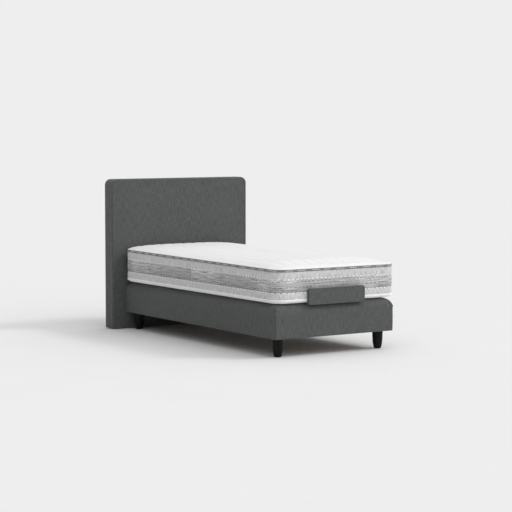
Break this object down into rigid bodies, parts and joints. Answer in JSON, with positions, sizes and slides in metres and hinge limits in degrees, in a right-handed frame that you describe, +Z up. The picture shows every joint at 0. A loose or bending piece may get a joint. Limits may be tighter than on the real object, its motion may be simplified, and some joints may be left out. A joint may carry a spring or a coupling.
{
  "type": "adjustable bed base",
  "caption": "Upholstered single bed with an electric adjustable slatted base, padded headboard, mattress and foot-end mattress stop on turned black legs.",
  "frame": {"origin": "on the floor under the middle of the whole bed", "axes": "+X across the width to the right as seen from the foot, +Y towards the headboard, +Z up"},
  "size_m": [1.236, 2.242, 1.166],
  "materials": {
    "upholstery_fabric": "woven melange upholstery, matt",
    "backing_cloth": "thin non-woven cloth, matt",
    "mattress_fabric": "knitted quilted ticking, matt",
    "leg_black": "black lacquer, satin",
    "rail_wood": "sawn pine, raw",
    "slat_wood": "bent beech, clear lacquer",
    "black_steel": "black powder coat, satin",
    "bright_steel": "zinc plated",
    "black_rubber": "matt",
    "grey_plastic": "fine texture"
  },
  "bodies": {
    "box_frame": {"side_rail_left": "rail_wood", "side_rail_right": "rail_wood", "foot_rail": "rail_wood", "head_rail": "rail_wood", "corner_blocks": "rail_wood", "side_cover_left": "upholstery_fabric", "side_cover_right": "upholstery_fabric", "foot_cover": "upholstery_fabric", "head_cover": "upholstery_fabric", "foot_leg_left": "leg_black", "foot_leg_right": "leg_black", "head_leg_left": "leg_black", "head_leg_right": "leg_black", "leg_studs": "bright_steel", "floor_glides": "black_rubber", "headboard_panel": "rail_wood", "headboard_cover": "upholstery_fabric", "headboard_back_cloth": "backing_cloth", "headboard_bolts": "bright_steel", "base_side_tubes": "black_steel", "base_cross_tubes": "black_steel", "frame_brackets": "black_steel", "bearing_blocks": "grey_plastic", "rest_pads": "black_rubber", "seat_side_tubes": "black_steel", "seat_slats": "slat_wood", "seat_slat_holders": "black_rubber", "hinge_shafts": "bright_steel", "back_drive_housing": "grey_plastic", "leg_drive_housing": "grey_plastic", "control_box": "grey_plastic", "mattress_seat": "mattress_fabric"},
    "back_section": {"back_side_tubes": "black_steel", "back_cross_tubes": "black_steel", "back_slats": "slat_wood", "back_slat_holders": "black_rubber", "mattress_back": "mattress_fabric"},
    "back_lift": {"back_torsion_tube": "bright_steel", "back_lift_arms": "black_steel"},
    "back_roller_pair": {"back_rollers": "grey_plastic"},
    "back_slider": {"back_drive_slider": "bright_steel"},
    "thigh_section": {"thigh_side_tubes": "black_steel", "knee_shaft": "bright_steel", "thigh_slats": "slat_wood", "thigh_slat_holders": "black_rubber", "mattress_thigh": "mattress_fabric"},
    "leg_lift": {"leg_torsion_tube": "bright_steel", "leg_lift_arms": "black_steel"},
    "leg_roller_pair": {"leg_rollers": "grey_plastic"},
    "leg_slider": {"leg_drive_slider": "bright_steel"},
    "calf_section": {"calf_side_tubes": "black_steel", "calf_cross_tube": "black_steel", "calf_slats": "slat_wood", "calf_slat_holders": "black_rubber", "stop_straps": "black_steel", "stop_board": "rail_wood", "stop_cover": "upholstery_fabric", "mattress_calf": "mattress_fabric"},
    "calf_link_pair": {"calf_links": "black_steel", "calf_link_shaft": "bright_steel"}
  },
  "joints": [
    {"name": "back_tilt", "type": "hinge", "parent": "box_frame", "child": "back_section", "pos_m": [0, 0.181, 0.335], "axis": [1, 0, 0], "range_deg": [0, 55], "deforming": ["mattress_seat"]},
    {"name": "back_lift_turn", "type": "hinge", "parent": "box_frame", "child": "back_lift", "pos_m": [0, 0.431, 0.335], "axis": [1, 0, 0], "range_deg": [0, 110]},
    {"name": "back_roller_spin", "type": "hinge", "parent": "back_lift", "child": "back_roller_pair", "pos_m": [0, 0.681, 0.335], "axis": [1, 0, 0], "continuous": true},
    {"name": "back_slider_travel", "type": "slide", "parent": "box_frame", "child": "back_slider", "axis": [0, 1, 0], "range_m": [0, 0.0902]},
    {"name": "thigh_tilt", "type": "hinge", "parent": "box_frame", "child": "thigh_section", "pos_m": [0, -0.119, 0.335], "axis": [-1, 0, 0], "range_deg": [0, 30]},
    {"name": "knee_bend", "type": "hinge", "parent": "thigh_section", "child": "calf_section", "pos_m": [0, -0.489, 0.335], "axis": [-1, 0, 0], "range_deg": [-30, 0]},
    {"name": "leg_lift_turn", "type": "hinge", "parent": "box_frame", "child": "leg_lift", "pos_m": [0, -0.249, 0.335], "axis": [-1, 0, 0], "range_deg": [0, 60]},
    {"name": "leg_roller_spin", "type": "hinge", "parent": "leg_lift", "child": "leg_roller_pair", "pos_m": [0, -0.379, 0.335], "axis": [-1, 0, 0], "continuous": true},
    {"name": "leg_slider_travel", "type": "slide", "parent": "box_frame", "child": "leg_slider", "axis": [0, -1, 0], "range_m": [0, 0.0551]},
    {"name": "calf_link_swing", "type": "hinge", "parent": "box_frame", "child": "calf_link_pair", "pos_m": [0, -0.589, 0.335], "axis": [-1, 0, 0], "range_deg": [0, 30]}
  ],
  "couplings": [
    {"joint": "back_lift_turn", "follows": "back_tilt", "ratio": 2},
    {"joint": "back_slider_travel", "follows": "back_tilt", "m_per_rad": 0.093868},
    {"joint": "knee_bend", "follows": "thigh_tilt", "ratio": -1},
    {"joint": "leg_lift_turn", "follows": "thigh_tilt", "ratio": 2},
    {"joint": "leg_slider_travel", "follows": "thigh_tilt", "m_per_rad": 0.10504},
    {"joint": "calf_link_swing", "follows": "thigh_tilt", "ratio": 1}
  ]
}
